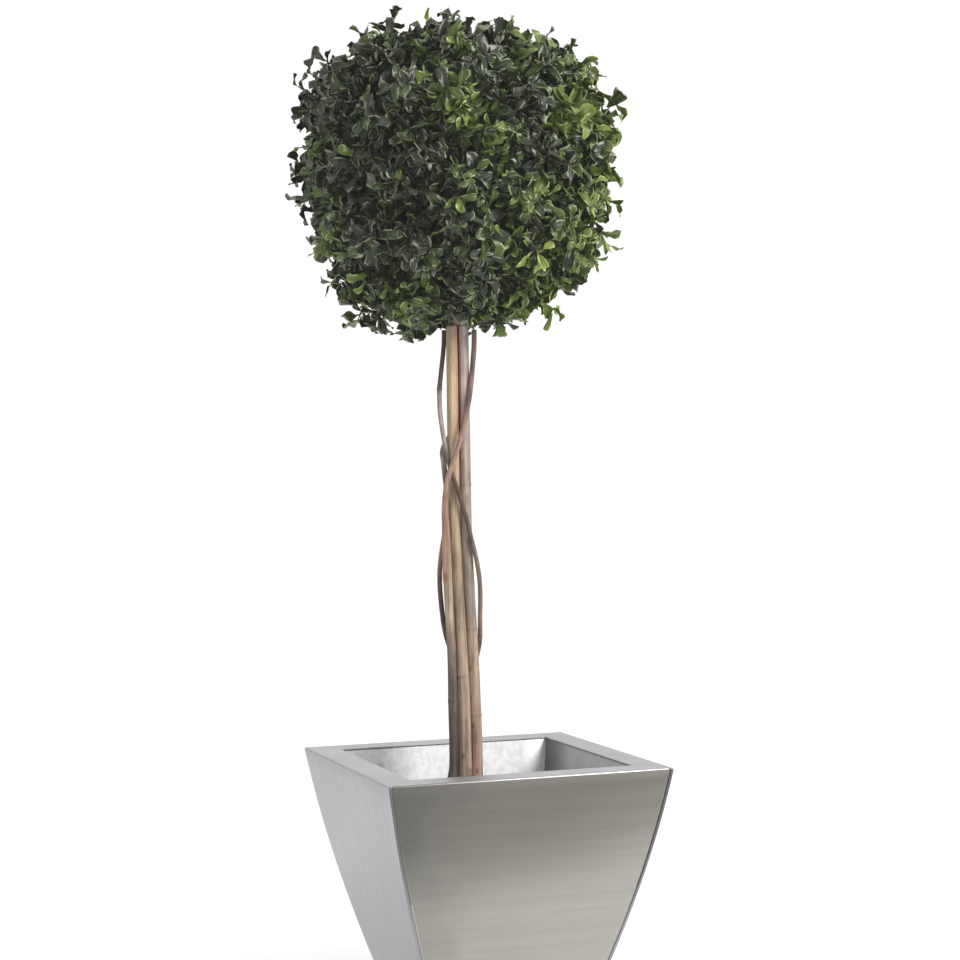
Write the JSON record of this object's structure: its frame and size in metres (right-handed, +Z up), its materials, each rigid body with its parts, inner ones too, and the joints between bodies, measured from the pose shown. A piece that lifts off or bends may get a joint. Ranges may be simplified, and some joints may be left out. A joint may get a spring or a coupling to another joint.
{
  "type": "potted standard pittosporum",
  "caption": "Clipped ball of small glossy leaves on a bare trunk of canes wound with lianas, planted in a square flared planter of brushed steel.",
  "frame": {"origin": "middle of the planter's flat underside, where it stands on the ground", "axes": "+Z up along the trunk, -Y out of the planter's front panel, +X to the right of that panel"},
  "size_m": [0.4734, 0.4724, 1.4016],
  "materials": {
    "planter_steel": "brushed stainless steel, fine level brushing",
    "liner_steel": "galvanised sheet with a mottled zinc bloom",
    "potting_mix": "dark crumbly potting mix",
    "bark_tan": "smooth tan cane with streaks and rings",
    "bark_grey": "grey-brown cane with streaks and rings",
    "bark_brown": "brown cane with streaks and rings",
    "bark_dark": "dark brown twining stem",
    "bark_red": "reddish brown twining stem",
    "foliage": "glossy dark green leaves"
  },
  "bodies": {
    "root": {"planter_panel_front": "planter_steel", "planter_panel_right": "planter_steel", "planter_panel_back": "planter_steel", "planter_panel_left": "planter_steel", "planter_base": "planter_steel", "planter_liner": "liner_steel", "potting_mix": "potting_mix", "cane_front": "bark_tan", "cane_right": "bark_grey", "cane_back": "bark_brown", "liana_dark": "bark_dark", "liana_red": "bark_red", "liana_thin": "bark_dark", "crown": "foliage"}
  },
  "joints": []
}
